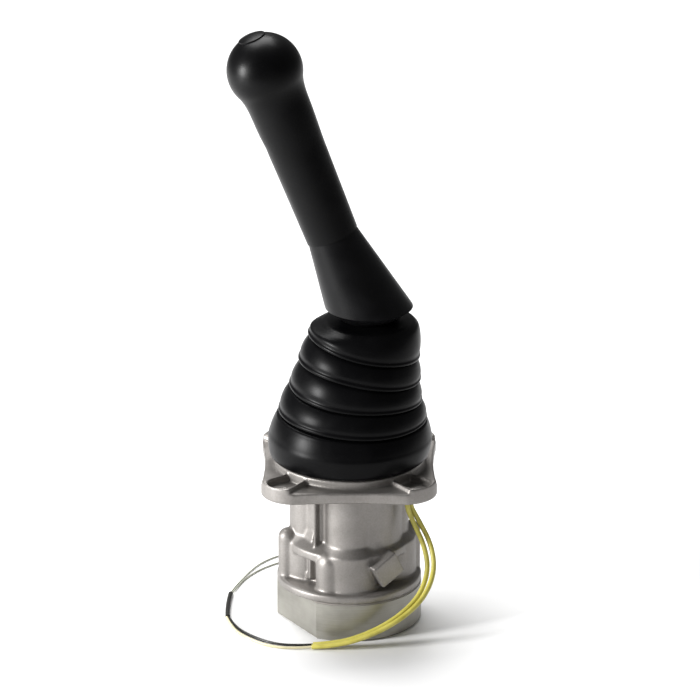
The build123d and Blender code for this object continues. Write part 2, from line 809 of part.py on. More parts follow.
# ---- Skirt: a hollow cone from the boot's collar up to the tilted grip ----
skirt_axis = Axis((skirt_x, 0, 0), (0, 0, 1))
skirt_plane = Plane(origin=(skirt_x, 0, 0), x_dir=(1, 0, 0), z_dir=(0, -1, 0))
lip_z = skirt_z - skirt_lip_height
skirt_top_plane = Plane(origin=(seam_x, 0, seam_z), x_dir=(lean_cos, 0, lean_sin), z_dir=grip_direction)
with BuildPart() as lever_skirt:
    with BuildSketch(Plane(origin=(skirt_x, 0, skirt_z))):
        Circle(skirt_radius)
    with BuildSketch(skirt_top_plane):
        Circle(skirt_top_radius)
    loft()
    with BuildSketch(Plane(origin=(skirt_x, 0, skirt_z))):
        Circle(skirt_radius - skirt_wall)
    with BuildSketch(skirt_top_plane.offset(-skirt_top_wall)):
        Circle(skirt_top_radius - skirt_wall)
    loft(mode=Mode.SUBTRACT)
    with BuildSketch(skirt_plane):
        with BuildLine():
            Polyline(
                (spigot_radius - skirt_wall, lip_z - spigot_length),
                (spigot_radius, lip_z - spigot_length),
                (spigot_radius, lip_z),
                (skirt_lip_radius, lip_z),
                (skirt_radius, skirt_z),
                (skirt_radius - skirt_wall, skirt_z),
                (spigot_radius - skirt_wall, lip_z + skirt_wall),
                close=True,
            )
        make_face()
    revolve(axis=skirt_axis)
    with BuildSketch(skirt_top_plane):
        Circle(lever_rod_radius + running_gap)
    extrude(amount=-2 * skirt_top_wall, mode=Mode.SUBTRACT)
write(lever_skirt, "lever_skirt")

# ---- Grip, horn button and its switch ----
bulb_start = (
    bulb_radius * cos(radians(bulb_start_angle)),
    bulb_height - bulb_radius * sin(radians(bulb_start_angle)),
)
bulb_tangent = (sin(radians(bulb_start_angle)), cos(radians(bulb_start_angle)))
button_top = bulb_height + bulb_radius + button_proud
button_edge = bulb_height + sqrt(bulb_radius**2 - button_radius**2) + button_proud
button_bottom = button_top - button_thickness
pocket_floor = button_bottom - button_spring_length
grip_bottom_radius = skirt_top_radius + grip_step

with BuildPart() as grip:
    with BuildSketch(grip_profile_plane):
        with BuildLine():
            Line((0, 0), (grip_bottom_radius, 0))
            Line((grip_bottom_radius, 0), (grip_waist_radius, grip_waist_height))
            Spline(
                (grip_waist_radius, grip_waist_height),
                (grip_neck_radius, grip_neck_height),
                bulb_start,
                tangents=((grip_waist_radius - grip_bottom_radius, grip_waist_height), bulb_tangent),
            )
            RadiusArc(bulb_start, (0, bulb_height + bulb_radius), -bulb_radius)
            Line((0, bulb_height + bulb_radius), (0, 0))
        make_face()
    revolve(axis=grip_axis)
    with BuildSketch(grip_section(0)):
        Circle(lever_rod_radius + running_gap)
    extrude(amount=lever_in_grip + part_gap, mode=Mode.SUBTRACT)
    with BuildSketch(grip_section(pocket_floor)):
        Circle(button_radius + part_gap)
    extrude(amount=2 * button_radius, mode=Mode.SUBTRACT)
    with BuildSketch(grip_section(pocket_floor)):
        Circle(switch_radius + running_gap)
    extrude(amount=-switch_length, mode=Mode.SUBTRACT)
    # Channel for the horn leads, from the switch down to the lever rod
    with BuildSketch(grip_section(lever_in_grip)):
        Circle(button_stem_radius)
    extrude(amount=pocket_floor - switch_length - lever_in_grip, mode=Mode.SUBTRACT)
write(grip, "grip")

with BuildPart() as horn_button:
    with BuildSketch(grip_profile_plane):
        with BuildLine():
            Polyline(
                (0, button_bottom - button_spring_length + button_travel + touch_gap),
                (button_stem_radius, button_bottom - button_spring_length + button_travel + touch_gap),
                (button_stem_radius, button_bottom),
                (button_radius, button_bottom),
                (button_radius, button_edge),
            )
            RadiusArc((button_radius, button_edge), (0, button_top), -bulb_radius)
            Line((0, button_top), (0, button_bottom - button_spring_length + button_travel + touch_gap))
        make_face()
    revolve(axis=grip_axis)
write(horn_button, "horn_button")

with BuildPart() as horn_switch:
    with BuildSketch(grip_section(pocket_floor - switch_length)):
        Circle(switch_radius)
    extrude(amount=switch_length)
write(horn_switch, "horn_switch")

spring_frame = grip_section(pocket_floor + button_spring_wire)
button_rise = button_spring_length - 2 * button_spring_wire
button_helix = spring_frame.location * Helix(
    button_rise / button_spring_turns, button_rise, button_spring_radius, mode=Mode.PRIVATE
)
with BuildPart() as button_spring:
    with BuildSketch(Plane(origin=button_helix @ 0, z_dir=button_helix % 0)):
        Rectangle(button_spring_wire, button_spring_wire)
    sweep(path=button_helix, is_frenet=True)
write(button_spring, "button_spring")

# ---- Boot: a leaning stack of rounded folds, open inside ----


def smooth_step(value):
    """Rises from 0 to 1 as value does, level at both ends."""
    value = min(max(value, 0), 1)
    return value**2 * (3 - 2 * value)


def boot_plane(height):
    """Plane of the boot's section at a height: it shifts towards the skirt and leans, level at both ends."""
    share = (height - ring_top) / (boot_top_z - ring_top)
    rise = smooth_step(share / boot_full_tilt_share)
    fall = 1 - smooth_step((share - boot_full_tilt_share) / (1 - boot_full_tilt_share))
    tilt = radians(boot_tilt * rise * fall)
    return Plane(origin=(skirt_x * share**1.5, 0, height), z_dir=(sin(tilt), 0, cos(tilt)))


outer_sections = [(ring_top, boot_base_radius), (ring_top + boot_lip, boot_fold_radii[0] - boot_lip_inset)]
inner_sections = [(ring_top, boot_base_radius - boot_wall)]
for fold, (radius, height) in enumerate(zip(boot_fold_radii, boot_fold_heights)):
    outer_sections.append((height, radius))
    inner_sections.append((height, radius - boot_wall))
    if fold < len(boot_valley_heights):
        valley = boot_valley_heights[fold]
        next_radius = boot_fold_radii[fold + 1]
        valley_radius = next_radius - boot_valley_depth
        rise = valley - height
        outer_sections.append((height + rise / 2, radius - boot_lip_inset))
        outer_sections.append((valley - boot_lip_inset, (radius + valley_radius) / 2))
        outer_sections.append((valley, valley_radius))
        outer_sections.append((valley + boot_lip_inset, next_radius - boot_lip_inset))
        inner_sections.append((valley, valley_radius - boot_wall))
last_radius = boot_fold_radii[-1]
shoulder_z = (boot_fold_heights[-1] + boot_top_z) / 2
outer_sections.append((shoulder_z, last_radius - boot_lip_inset))
outer_sections.append((boot_top_z - boot_lip_inset, last_radius - boot_seat))
outer_sections.append((boot_top_z, last_radius - 2 * boot_seat))
outer_sections.append((lip_z - part_gap, boot_collar_radius))
inner_sections.append((shoulder_z, last_radius - boot_lip_inset - boot_wall))
inner_sections.append((boot_top_z - boot_wall, last_radius - 2 * boot_seat - boot_wall))

with BuildPart() as boot:
    for height, radius in outer_sections:
        with BuildSketch(boot_plane(height)):
            Circle(radius)
    loft(ruled=True)
    for height, radius in inner_sections:
        with BuildSketch(boot_plane(height)):
            Circle(radius)
    loft(ruled=True, mode=Mode.SUBTRACT)
    with BuildSketch(Plane(origin=(skirt_x, 0, lip_z - 2 * boot_seat))):
        Circle(spigot_radius + part_gap)
    extrude(amount=2 * boot_seat, mode=Mode.SUBTRACT)
write(boot, "boot")

# ---- Horn leads: grommet in the flange, then sleeves, wires, heat-shrink, tails and terminals ----
with BuildPart() as lead_grommet:
    for height, rise in ((grommet_lip, grommet_lip_rise), (ring_top - flange_z - touch_gap, 0)):
        with BuildSketch(Plane.XY.offset(flange_z)):
            with PolarLocations(grommet_circle, 1, start_angle=grommet_angle):
                SlotCenterToCenter(lead_spacing, 2 * (grommet_half_width + rise), rotation=90)
        extrude(amount=height)
write(lead_grommet, "lead_grommet")


def lead(route, radius, name):
    """A tube along straight runs joined by arcs as large as the two runs at each corner allow."""
    corners = [Vector(*point) for point in route]
    bends = []
    for before, corner, after in zip(corners, corners[1:], corners[2:]):
        turn = (corner - before).get_angle(after - corner)
        run = min((corner - before).length, (after - corner).length)
        bends.append(lead_arc_share * run / tan(radians(turn / 2)))
    with BuildPart() as tube:
        with BuildLine() as path:
            FilletPolyline(*corners, radius=bends)
        with BuildSketch(Plane(origin=path.line @ 0, z_dir=path.line % 0)):
            Circle(radius)
        sweep(path=path.line)
    length = sum(edge.length for edge in path.edges())
    print(name, "length", round(length, 1), "least bend radius", round(min(bends), 1))
    write(tube, name)


outer_sleeve_route = (
    (35.0, -14.4, 91.0),
    (35.0, -14.4, 78.0),
    (41.5, -14.8, 66.0),
    (48.8, -19.5, 53.0),
    (51.0, -28.5, 39.5),
    (44.0, -41.0, 26.5),
    (28.0, -51.0, 16.0),
    (9.0, -55.5, 8.0),
    (-8.0, -55.6, 3.2),
    (-22.0, -53.6, 1.6),
)
inner_sleeve_route = (
    (33.5, -17.6, 91.0),
    (33.5, -17.6, 78.0),
    (38.2, -18.0, 66.0),
    (44.6, -20.6, 53.0),
    (47.2, -27.5, 39.5),
    (41.3, -38.3, 26.5),
    (26.3, -47.8, 16.0),
    (8.4, -51.9, 8.0),
    (-7.6, -52.0, 3.2),
    (-21.2, -50.2, 1.6),
)
cream_wire_route = (
    (-22.3, -53.5, 1.6),
    (-35.0, -51.2, 1.1),
    (-49.5, -43.8, 1.1),
    (-63.0, -30.0, 1.1),
    (-70.3, -19.0, 1.3),
    (-72.8, -10.3, 2.4),
)
black_wire_route = (
    (-21.5, -50.1, 1.6),
    (-33.8, -48.0, 1.1),
    (-47.5, -41.2, 1.1),
    (-60.3, -28.5, 1.1),
    (-67.6, -17.8, 1.3),
    (-70.6, -10.3, 2.4),
)
shrink_route = (
    (-71.7, -10.0, 2.7),
    (-72.0, 7.5, 2.7),
    (-69.4, 25.0, 2.7),
)
left_tail_route = (
    (-70.3, 25.3, 2.6),
    (-70.0, 36.0, 1.0),
    (-68.4, 51.0, 0.8),
    (-62.0, 67.0, 0.8),
    (-52.0, 80.0, 0.8),
    (-39.0, 91.0, 0.8),
    (-23.0, 98.5, 0.8),
    (-8.0, 101.5, 1.0),
    (3.0, 102.0, 2.2),
)
right_tail_route = (
    (-68.5, 25.3, 2.6),
    (-67.4, 35.8, 1.0),
    (-64.6, 50.5, 0.8),
    (-56.5, 65.5, 0.8),
    (-46.5, 77.0, 0.8),
    (-33.5, 86.0, 0.8),
    (-17.0, 91.5, 0.8),
    (-3.0, 92.8, 1.0),
    (8.0, 92.9, 2.2),
)
lead(outer_sleeve_route, sleeve_radius, "lead_sleeve_outer")
lead(inner_sleeve_route, sleeve_radius, "lead_sleeve_inner")
lead(cream_wire_route, wire_radius, "cream_wire")
lead(black_wire_route, wire_radius, "black_wire")
lead(shrink_route, shrink_radius, "heat_shrink")
lead(left_tail_route, tail_radius, "tail_wire_left")
lead(right_tail_route, tail_radius, "tail_wire_right")

for route, name in ((left_tail_route, "terminal_left"), (right_tail_route, "terminal_right")):
    end_x, end_y, end_z = route[-1]
    with BuildPart() as terminal:
        with BuildSketch(Plane(origin=(end_x + part_gap, end_y, end_z), z_dir=(1, 0, 0))):
            Circle(terminal_radius)
        extrude(amount=terminal_length)
        with BuildSketch(Plane(origin=(end_x + part_gap + terminal_length, end_y, end_z), z_dir=(1, 0, 0))):
            Circle(terminal_pin_radius)
        extrude(amount=terminal_pin_length)
        chamfer(terminal.faces().sort_by(Axis.X)[-1].edges(), terminal_pin_chamfer)
    write(terminal, name)
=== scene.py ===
import json
from math import cos, pi, radians, sin

import bmesh
import bpy
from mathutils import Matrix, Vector


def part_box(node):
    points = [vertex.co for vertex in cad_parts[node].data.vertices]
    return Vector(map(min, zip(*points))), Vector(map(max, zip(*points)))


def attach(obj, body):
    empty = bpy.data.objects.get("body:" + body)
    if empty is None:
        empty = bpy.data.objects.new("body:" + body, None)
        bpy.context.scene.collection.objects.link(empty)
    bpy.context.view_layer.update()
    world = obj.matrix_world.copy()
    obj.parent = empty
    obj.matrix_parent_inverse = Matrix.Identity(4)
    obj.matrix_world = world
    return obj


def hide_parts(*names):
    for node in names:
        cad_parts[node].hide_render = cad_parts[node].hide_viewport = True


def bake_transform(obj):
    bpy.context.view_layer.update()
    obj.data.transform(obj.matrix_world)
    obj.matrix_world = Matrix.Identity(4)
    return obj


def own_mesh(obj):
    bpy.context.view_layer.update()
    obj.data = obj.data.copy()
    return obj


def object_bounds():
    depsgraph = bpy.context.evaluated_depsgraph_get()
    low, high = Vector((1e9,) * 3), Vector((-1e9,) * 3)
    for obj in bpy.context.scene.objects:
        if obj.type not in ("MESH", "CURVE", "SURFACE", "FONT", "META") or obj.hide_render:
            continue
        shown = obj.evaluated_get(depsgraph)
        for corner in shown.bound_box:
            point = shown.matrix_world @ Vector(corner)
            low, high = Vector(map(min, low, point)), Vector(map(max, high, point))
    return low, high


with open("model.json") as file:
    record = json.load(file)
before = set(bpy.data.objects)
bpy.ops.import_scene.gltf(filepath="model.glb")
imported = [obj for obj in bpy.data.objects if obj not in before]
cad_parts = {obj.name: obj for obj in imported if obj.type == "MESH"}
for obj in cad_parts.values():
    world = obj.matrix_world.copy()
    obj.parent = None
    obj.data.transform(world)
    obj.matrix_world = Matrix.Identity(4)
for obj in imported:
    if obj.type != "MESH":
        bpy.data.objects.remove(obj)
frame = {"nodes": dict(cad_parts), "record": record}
cad_low, cad_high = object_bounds()
nodes = frame["nodes"]
slots = {part["node"]: part["material_slot"] for part in frame["record"]["subparts"]}
joints = {joint["name"]: joint for joint in frame["record"]["behaviour"]["joints"]}
scene = bpy.context.scene

MM = 0.001


def mm(point):
    """A point in millimetres, in metres."""
    return [value * MM for value in point]


# ---- Camera: square on to the flange, looking down on the valve ----
CAMERA_LENS = 348.8
CAMERA_SENSOR = 36.0
CAMERA_DISTANCE = 4.0
CAMERA_ELEVATION = radians(21.0)
AIM = (0.5, 0.0, 169.0)

camera = bpy.data.objects.new("camera", bpy.data.cameras.new("camera"))
scene.collection.objects.link(camera)
scene.camera = camera
camera.data.lens = CAMERA_LENS
camera.data.sensor_width = CAMERA_SENSOR
towards_camera = Vector((0, -cos(CAMERA_ELEVATION), sin(CAMERA_ELEVATION)))
camera.location = Vector(mm(AIM)) + towards_camera * CAMERA_DISTANCE
camera.rotation_euler = (pi / 2 - CAMERA_ELEVATION, 0, 0)

# ---- Horn leads: the routes of the CAD cords, with all sizes in millimetres ----
SLEEVE_DIAMETER = 3.0
WIRE_DIAMETER = 1.5
TAIL_DIAMETER = 0.9
SHRINK_DIAMETER = 3.0
ROUTES = {
    "lead_sleeve_outer": [
        (35.0, -14.4, 91.0), (35.0, -14.4, 78.0), (41.5, -14.8, 66.0), (48.8, -19.5, 53.0),
        (51.0, -28.5, 39.5), (44.0, -41.0, 26.5), (28.0, -51.0, 16.0), (9.0, -55.5, 8.0),
        (-8.0, -55.6, 3.2), (-22.0, -53.6, 1.6),
    ],
    "lead_sleeve_inner": [
        (33.5, -17.6, 91.0), (33.5, -17.6, 78.0), (38.2, -18.0, 66.0), (44.6, -20.6, 53.0),
        (47.2, -27.5, 39.5), (41.3, -38.3, 26.5), (26.3, -47.8, 16.0), (8.4, -51.9, 8.0),
        (-7.6, -52.0, 3.2), (-21.2, -50.2, 1.6),
    ],
    "cream_wire": [
        (-22.3, -53.6, 1.6), (-34.5, -54.3, 0.8), (-49.0, -49.8, 0.8), (-62.0, -37.0, 0.8),
        (-70.0, -23.0, 0.9), (-73.2, -9.3, 1.6),
    ],
    "black_wire": [
        (-21.5, -50.4, 1.6), (-34.6, -50.0, 0.8), (-48.3, -45.0, 0.8), (-60.8, -32.8, 0.8),
        (-68.5, -20.5, 0.9), (-71.9, -8.9, 1.6),
    ],
    "heat_shrink": [(-72.5, -9.0, 1.7), (-73.1, 9.5, 1.7), (-71.3, 26.5, 1.7)],
    "tail_wire_left": [
        (-71.6, 26.7, 1.7), (-69.2, 38.0, 0.8), (-64.8, 51.0, 0.6), (-59.8, 64.5, 0.6),
        (-53.0, 78.0, 0.6), (-42.0, 89.5, 0.6), (-26.0, 97.5, 0.6), (-9.0, 101.0, 0.9),
        (3.0, 102.0, 2.2),
    ],
    "tail_wire_right": [
        (-70.5, 26.7, 1.7), (-67.8, 37.8, 0.8), (-63.6, 50.5, 0.6), (-57.0, 62.5, 0.6),
        (-47.8, 73.5, 0.6), (-35.0, 82.5, 0.6), (-19.5, 89.5, 0.6), (-4.0, 92.3, 0.9),
        (8.0, 92.9, 2.2),
    ],
}


def cord_curve(node, diameter):
    """A smooth round cord along the node's route, standing for the CAD tube."""
    curve = bpy.data.curves.new(node + "_line", "CURVE")
    curve.dimensions = "3D"
    curve.resolution_u = 12
    curve.bevel_depth = diameter / 2
    curve.bevel_resolution = 5
    curve.use_fill_caps = True
    spline = curve.splines.new("NURBS")
    route = ROUTES[node]
    spline.points.add(len(route) - 1)
    for point, place in zip(spline.points, route):
        point.co = (*mm(place), 1)
        # The bevel is in millimetres, and this scales it.
        point.radius = MM
    spline.order_u = 3
    spline.use_endpoint_u = True
    obj = bpy.data.objects.new(node + "_soft", curve)
    scene.collection.objects.link(obj)
    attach(obj, "valve")
    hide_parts(node)
    return obj


shrink = cord_curve("heat_shrink", SHRINK_DIAMETER)
cords = {}
for node, diameter, length, far_end, others in (
    ("lead_sleeve_outer", SLEEVE_DIAMETER, 151.1, "bare", [nodes["lead_grommet"]]),
    ("lead_sleeve_inner", SLEEVE_DIAMETER, 143.8, "bare", []),
    ("cream_wire", WIRE_DIAMETER, 75.8, "fitting", [shrink]),
    ("black_wire", WIRE_DIAMETER, 71.0, "fitting", [shrink]),
    ("tail_wire_left", TAIL_DIAMETER, 117.7, "connector", [nodes["terminal_left"]]),
    ("tail_wire_right", TAIL_DIAMETER, 113.0, "connector", [nodes["terminal_right"]]),
):
    cords[node] = cord_curve(node, diameter)

# ---- Materials ----
# Most noise values lie in this span.
NOISE_LOW = 0.3
NOISE_HIGH = 0.7
WHITE = (1.0, 1.0, 1.0)
# A mix node has sockets of the same names for numbers and vectors, so those for colours go by place.
MIX_COLOUR_A = 6
MIX_COLOUR_B = 7
MIX_COLOUR_RESULT = 2


class Nodes:
    """A material's node tree, with short ways to add and join its nodes."""

    def __init__(self, name):
        self.material = bpy.data.materials.new(name)
        self.material.use_nodes = True
        self.tree = self.material.node_tree
        self.shader = self.tree.nodes["Principled BSDF"]
        self.place = self.add("ShaderNodeTexCoord").outputs["Object"]

    def add(self, kind, **values):
        node = self.tree.nodes.new(kind)
        for key, value in values.items():
            setattr(node, key, value)
        return node

    def join(self, out, to):
        self.tree.links.new(out, to)

    def drive(self, out, name):
        """Joins an output to the shader's socket of that name."""
        self.join(out, self.shader.inputs[name])

    def set(self, **values):
        for key, value in values.items():
            self.shader.inputs[key.replace("_", " ")].default_value = value

    def noise(self, size_mm, detail=3.0, stretch=(1, 1, 1), distortion=0.0):
        """Noise whose features are about size_mm across."""
        mapping = self.add("ShaderNodeMapping")
        mapping.inputs["Scale"].default_value = stretch
        self.join(self.place, mapping.inputs["Vector"])
        texture = self.add("ShaderNodeTexNoise")
        texture.inputs["Scale"].default_value = 1 / (size_mm * MM)
        texture.inputs["Detail"].default_value = detail
        texture.inputs["Distortion"].default_value = distortion
        self.join(mapping.outputs["Vector"], texture.inputs["Vector"])
        return texture.outputs["Fac"]

    def ramp(self, noise, low, high, start=NOISE_LOW, end=NOISE_HIGH):
        """Colours from low, where the noise is at start, to high at end."""
        ramp = self.add("ShaderNodeValToRGB")
        for element, position, colour in zip(ramp.color_ramp.elements, (start, end), (low, high)):
            element.position = position
            element.color = (*colour, 1)
        self.join(noise, ramp.inputs["Fac"])
        return ramp.outputs["Color"]

    def span(self, noise, low, high):
        """Numbers that run from low to high as the noise does."""
        node = self.add("ShaderNodeMapRange")
        node.inputs["From Min"].default_value = NOISE_LOW
        node.inputs["From Max"].default_value = NOISE_HIGH
        node.inputs["To Min"].default_value = low
        node.inputs["To Max"].default_value = high
        self.join(noise, node.inputs["Value"])
        return node.outputs["Result"]

    def multiply(self, a, b):
        """The two colours multiplied."""
        node = self.add("ShaderNodeMix", data_type="RGBA", blend_type="MULTIPLY")
        node.inputs["Factor"].default_value = 1.0
        self.join(a, node.inputs[MIX_COLOUR_A])
        self.join(b, node.inputs[MIX_COLOUR_B])
        return node.outputs[MIX_COLOUR_RESULT]

    def bump(self, *layers):
        """layers are (height, strength, depth in mm), the finest last."""
        normal = None
        for height, strength, depth in layers:
            node = self.add("ShaderNodeBump")
            node.inputs["Strength"].default_value = strength
            node.inputs["Distance"].default_value = depth * MM
            self.join(height, node.inputs["Height"])
            if normal:
                self.join(normal, node.inputs["Normal"])
            normal = node.outputs["Normal"]
        self.drive(normal, "Normal")


def cast_aluminium():
    """A sand casting: cloudy grey with a fine rough skin."""
    m = Nodes("cast_aluminium")
    m.set(Metallic=0.7, Specular_IOR_Level=0.5)
    skin = m.noise(1.1, detail=4)
    cloud = m.noise(18, detail=3)
    tone = m.ramp(cloud, (0.225, 0.212, 0.200), (0.305, 0.290, 0.276))
    speck = m.ramp(skin, (0.90, 0.89, 0.88), WHITE, start=0.35, end=0.65)
    m.drive(m.multiply(tone, speck), "Base Color")
    m.drive(m.span(cloud, 0.42, 0.54), "Roughness")
    m.bump((cloud, 0.25, 0.6), (skin, 0.22, 0.10))
    return m.material


def machined_aluminium():
    """The turned foot: fine level lines over a cloudy grey."""
    m = Nodes("machined_aluminium")
    m.set(Metallic=0.75, Specular_IOR_Level=0.5)
    turning = m.noise(3.0, detail=5, stretch=(0.12, 0.12, 6))
    cloud = m.noise(14, detail=3)
    tone = m.ramp(cloud, (0.28, 0.272, 0.245), (0.365, 0.357, 0.322))
    lines = m.ramp(turning, (0.90, 0.89, 0.88), WHITE, start=0.35, end=0.65)
    m.drive(m.multiply(tone, lines), "Base Color")
    m.drive(m.span(turning, 0.32, 0.48), "Roughness")
    m.bump((cloud, 0.15, 0.4), (turning, 0.3, 0.06))
    return m.material


def brushed_metal(name, low, high):
    """Bare metal with fine drawn lines."""
    m = Nodes(name)
    m.set(Metallic=1.0)
    brushed = m.noise(2.0, detail=4, stretch=(1, 1, 8))
    m.drive(m.ramp(brushed, low, high), "Base Color")
    m.drive(m.span(brushed, 0.22, 0.36), "Roughness")
    m.bump((brushed, 0.15, 0.03))
    return m.material


def moulding(name, low, high, roughness, specular, grain_mm, grain, wave=0.0):
    """Rubber or plastic: a mottled skin with a moulded grain, and waves where it is soft."""
    m = Nodes(name)
    m.set(Specular_IOR_Level=specular)
    skin = m.noise(grain_mm, detail=3)
    cloud = m.noise(16, detail=4, distortion=0.4)
    m.drive(m.ramp(cloud, low, high), "Base Color")
    m.drive(m.span(cloud, *roughness), "Roughness")
    m.bump((cloud, wave, 0.8), (skin, grain, 0.08))
    return m.material


def insulation(name, low, high):
    """Extruded plastic: slightly uneven in colour and in the sheen of its skin."""
    m = Nodes(name)
    skin = m.noise(0.9, detail=3)
    cloud = m.noise(7, detail=3)
    m.drive(m.ramp(cloud, low, high), "Base Color")
    m.drive(m.span(skin, 0.34, 0.46), "Roughness")
    m.bump((skin, 0.12, 0.05))
    return m.material


def gasket():
    return moulding(
        "gasket",
        low=(0.20, 0.185, 0.17),
        high=(0.27, 0.25, 0.23),
        roughness=(0.6, 0.75),
        specular=0.3,
        grain_mm=0.7,
        grain=0.3,
    )


def seal_rubber():
    return moulding(
        "seal_rubber",
        low=(0.012, 0.012, 0.012),
        high=(0.02, 0.02, 0.02),
        roughness=(0.5, 0.62),
        specular=0.3,
        grain_mm=0.8,
        grain=0.2,
    )


def boot_rubber():
    return moulding(
        "boot_rubber",
        low=(0.0015, 0.0015, 0.0018),
        high=(0.0028, 0.0028, 0.0031),
        roughness=(0.28, 0.40),
        specular=0.08,
        grain_mm=0.8,
        grain=0.12,
        wave=0.12,
    )


def skirt_plastic():
    return moulding(
        "skirt_plastic",
        low=(0.0030, 0.0030, 0.0033),
        high=(0.0048, 0.0048, 0.0053),
        roughness=(0.30, 0.40),
        specular=0.13,
        grain_mm=0.45,
        grain=0.25,
    )


def grip_plastic():
    return moulding(
        "grip_plastic",
        low=(0.0012, 0.0012, 0.0014),
        high=(0.0022, 0.0022, 0.0025),
        roughness=(0.30, 0.40),
        specular=0.12,
        grain_mm=0.45,
        grain=0.45,
    )


def switch_plastic():
    return moulding(
        "switch_plastic",
        low=(0.12, 0.12, 0.12),
        high=(0.16, 0.16, 0.16),
        roughness=(0.5, 0.6),
        specular=0.4,
        grain_mm=0.6,
        grain=0.2,
    )


MATERIALS = {
    "cast_aluminium": cast_aluminium(),
    "gasket": gasket(),
    "steel": brushed_metal("steel", (0.40, 0.40, 0.41), (0.56, 0.56, 0.57)),
    "seal_rubber": seal_rubber(),
    "boot_rubber": boot_rubber(),
    "skirt_plastic": skirt_plastic(),
    "grip_plastic": grip_plastic(),
    "switch_plastic": switch_plastic(),
    "yellow_sleeve": insulation("yellow_sleeve", (0.46, 0.41, 0.07), (0.60, 0.54, 0.12)),
    "cream_insulation": insulation("cream_insulation", (0.55, 0.50, 0.30), (0.68, 0.62, 0.42)),
    "black_insulation": insulation("black_insulation", (0.004, 0.004, 0.003), (0.009, 0.009, 0.006)),
    "grey_insulation": insulation("grey_insulation", (0.27, 0.28, 0.22), (0.38, 0.38, 0.31)),
    "terminal_metal": brushed_metal("terminal_metal", (0.50, 0.46, 0.36), (0.66, 0.62, 0.52)),
}
for name, obj in nodes.items():
    obj.data.materials.clear()
    obj.data.materials.append(MATERIALS[slots[name]])
# The foot has the casting's slot, and is machined all over.
nodes["port_block"].data.materials.clear()
nodes["port_block"].data.materials.append(machined_aluminium())
for node, obj in [*cords.items(), ("heat_shrink", shrink)]:
    obj.data.materials.append(MATERIALS[slots[node]])


def new_piece(name, mesh, *replaced):
    """An object for the mesh, which stands for the replaced nodes, hides them and takes the material of the
    first one's slot.
    """
    obj = bpy.data.objects.new(name, mesh)
    scene.collection.objects.link(obj)
    mesh.materials.append(MATERIALS[slots[replaced[0]]])
    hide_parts(*replaced)
    return obj


# ---- Casing: the CAD casting with the soft edges that sand casting leaves ----
WELD_DISTANCE = 0.002
CASTING_VOXEL = 0.75
CASTING_SMOOTHING = 6


def soft_casting(name, *parts):
    """One piece for the nodes, which are one casting, with its edges softened."""
    mesh = bpy.data.meshes.new(name)
    bm = bmesh.new()
    for node in parts:
        bm.from_mesh(nodes[node].data)
    bm.to_mesh(mesh)
    bm.free()
    obj = new_piece(name, mesh, *parts)
    weld = obj.modifiers.new("weld", "WELD")
    weld.merge_threshold = WELD_DISTANCE * MM
    remesh = obj.modifiers.new("remesh", "REMESH")
    remesh.mode = "VOXEL"
    remesh.voxel_size = CASTING_VOXEL * MM
    smooth = obj.modifiers.new("smooth", "SMOOTH")
    smooth.factor = 0.5
    smooth.iterations = CASTING_SMOOTHING
    graph = bpy.context.evaluated_depsgraph_get()
    final = bpy.data.meshes.new_from_object(obj.evaluated_get(graph))
    obj.modifiers.clear()
    obj.data = final
    final.shade_smooth()
    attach(obj, "valve")
    return obj


soft_casting("valve_casting", "casing", "mounting_flange")

# ---- Boot: five rounded folds, squeezed on the right where the lever leans ----
RING_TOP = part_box("boot")[0].z / MM
BOOT_TOP = 188.0
SKIRT_SHIFT = 11.6
SHIFT_POWER = 1.5
BOOT_BASE_RADIUS = 41.5
FOLD_RADII = (48.6, 43.4, 39.0, 36.2, 33.2)
CREASES = (128.3, 142.3, 157.5, 172.0)
FOLD_TAPER = 4.2
FIRST_FOLD_RISE = 2.5
TOP_FOLD_DROP = 1.0
LIP = 0.7
CREASE_DEPTH = 3.4
CREASE_RISE = 0.05
BOOT_WALL = 2.2
COLLAR_RADIUS = 17.2
COLLAR_Z = 189.6
LEAN_MOST = 12.0
LEAN_FULL_SHARE = 0.85

# A fold's flank, as shares of its taper inwards and of its rise
FOLD_FLANK = ((0, 0.38), (0.16, 0.56), (0.42, 0.73), (0.75, 0.88), (1.1, 0.97))
# The rolled lower edge of each fold but the first, as (radius, height) from the fold's radius and foot
FOLD_LIP = ((-0.9, 0.25), (LIP - 0.2, 0.9), (LIP, 2.0), (0.05, 3.3))
# The first fold's foot and the shoulder inside the top fold, as (radius, height)
FOOT = (
    (BOOT_BASE_RADIUS, RING_TOP),
    (BOOT_BASE_RADIUS + 1.6, RING_TOP + 0.3),
    (47.2, RING_TOP + 2.4),
)
SHOULDER = ((26.0, BOOT_TOP + 0.2), (21.0, BOOT_TOP + 0.9), (COLLAR_RADIUS, COLLAR_Z))

# Unevenness round each fold, as (size, waves in a turn, turn for each millimetre of height)
SWINGS = ((0.35, 2, 0.11), (0.25, 3, -0.23))
SWING_FOOT = 4
SWING_FOOT_LENGTH = 12
SWING_TOP_LENGTH = 6

SEGMENTS = 144
CURVE_STEPS = 6
INSIDE_STEPS = 8
INSIDE_REACH = 4.5


def smooth_step(x):
    x = min(max(x, 0.0), 1.0)
    return x * x * (3 - 2 * x)


def boot_frame(z):
    """The boot's section at a height: its sideways shift in millimetres and its lean in radians."""
    share = (z - RING_TOP) / (BOOT_TOP - RING_TOP)
    rise = smooth_step(share / LEAN_FULL_SHARE)
    fall = 1 - smooth_step((share - LEAN_FULL_SHARE) / (1 - LEAN_FULL_SHARE))
    return SKIRT_SHIFT * max(share, 0) ** SHIFT_POWER, radians(LEAN_MOST) * rise * fall


